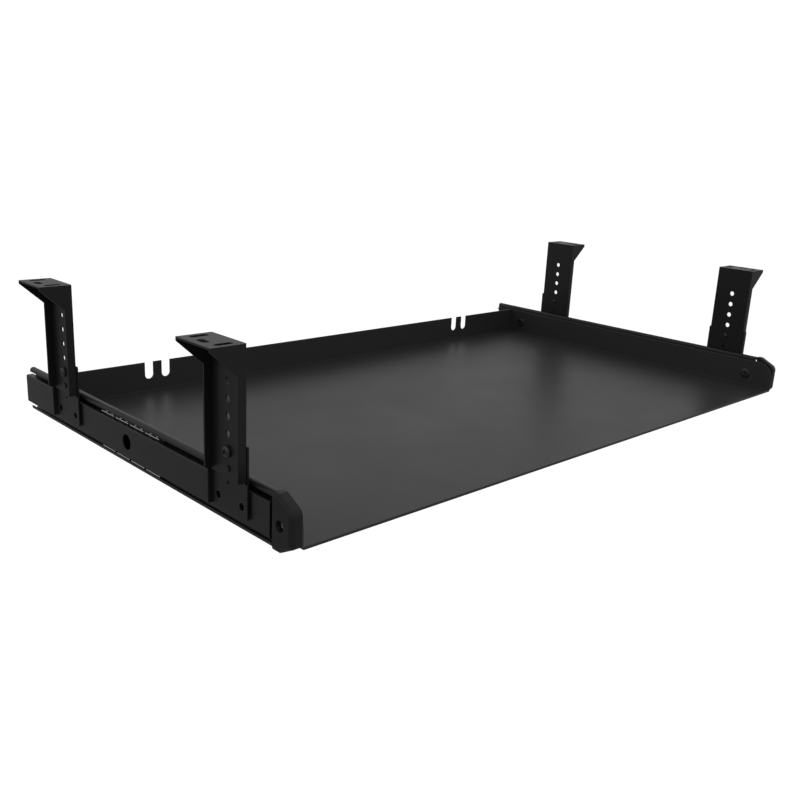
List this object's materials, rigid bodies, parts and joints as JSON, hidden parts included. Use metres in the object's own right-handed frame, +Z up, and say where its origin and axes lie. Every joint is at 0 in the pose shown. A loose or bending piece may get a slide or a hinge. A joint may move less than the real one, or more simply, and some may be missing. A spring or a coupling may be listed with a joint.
{
  "type": "under-desk keyboard tray",
  "caption": "Pull-out steel keyboard tray that hangs under a desk on two ball bearing slides and height-adjustable brackets.",
  "frame": {"origin": "centre of the four top plates, on the plane that goes against the underside of the desk", "axes": "+X across the tray to the user's right, +Y to the back, away from the user, +Z up into the desk"},
  "size_m": [0.7638, 0.421, 0.1385],
  "materials": {
    "tray_coat": "satin black powder coat",
    "bracket_coat": "matte black powder coat",
    "slide_coat": "satin black e-coat",
    "cap_plastic": "fine moulded texture",
    "zinc_plate": "bright zinc plate",
    "ball_steel": "polished",
    "black_fastener": "black oxide"
  },
  "bodies": {
    "bracket_frame": {"upper_bracket_front_left": "bracket_coat", "upper_bracket_front_right": "bracket_coat", "upper_bracket_rear_left": "bracket_coat", "upper_bracket_rear_right": "bracket_coat", "lower_bracket_front_left": "bracket_coat", "lower_bracket_front_right": "bracket_coat", "lower_bracket_rear_left": "bracket_coat", "lower_bracket_rear_right": "bracket_coat", "slide_inner_member_left": "slide_coat", "slide_inner_member_right": "slide_coat", "height_screws": "black_fastener", "bracket_rivets": "black_fastener"},
    "tray": {"tray": "tray_coat", "slide_outer_member_left": "slide_coat", "slide_outer_member_right": "slide_coat", "end_cap_left": "cap_plastic", "end_cap_right": "cap_plastic", "tray_screws": "black_fastener", "cap_screws": "zinc_plate"},
    "cage_left": {"ball_cage_left": "zinc_plate", "bearing_balls_left": "ball_steel"},
    "cage_right": {"ball_cage_right": "zinc_plate", "bearing_balls_right": "ball_steel"}
  },
  "joints": [
    {"name": "tray_slide", "type": "slide", "parent": "bracket_frame", "child": "tray", "axis": [0, -1, 0], "range_m": [0, 0.29]},
    {"name": "cage_left_slide", "type": "slide", "parent": "bracket_frame", "child": "cage_left", "axis": [0, -1, 0], "range_m": [0, 0.145]},
    {"name": "cage_right_slide", "type": "slide", "parent": "bracket_frame", "child": "cage_right", "axis": [0, -1, 0], "range_m": [0, 0.145]}
  ],
  "couplings": [
    {"joint": "cage_left_slide", "follows": "tray_slide", "ratio": 0.5},
    {"joint": "cage_right_slide", "follows": "tray_slide", "ratio": 0.5}
  ]
}
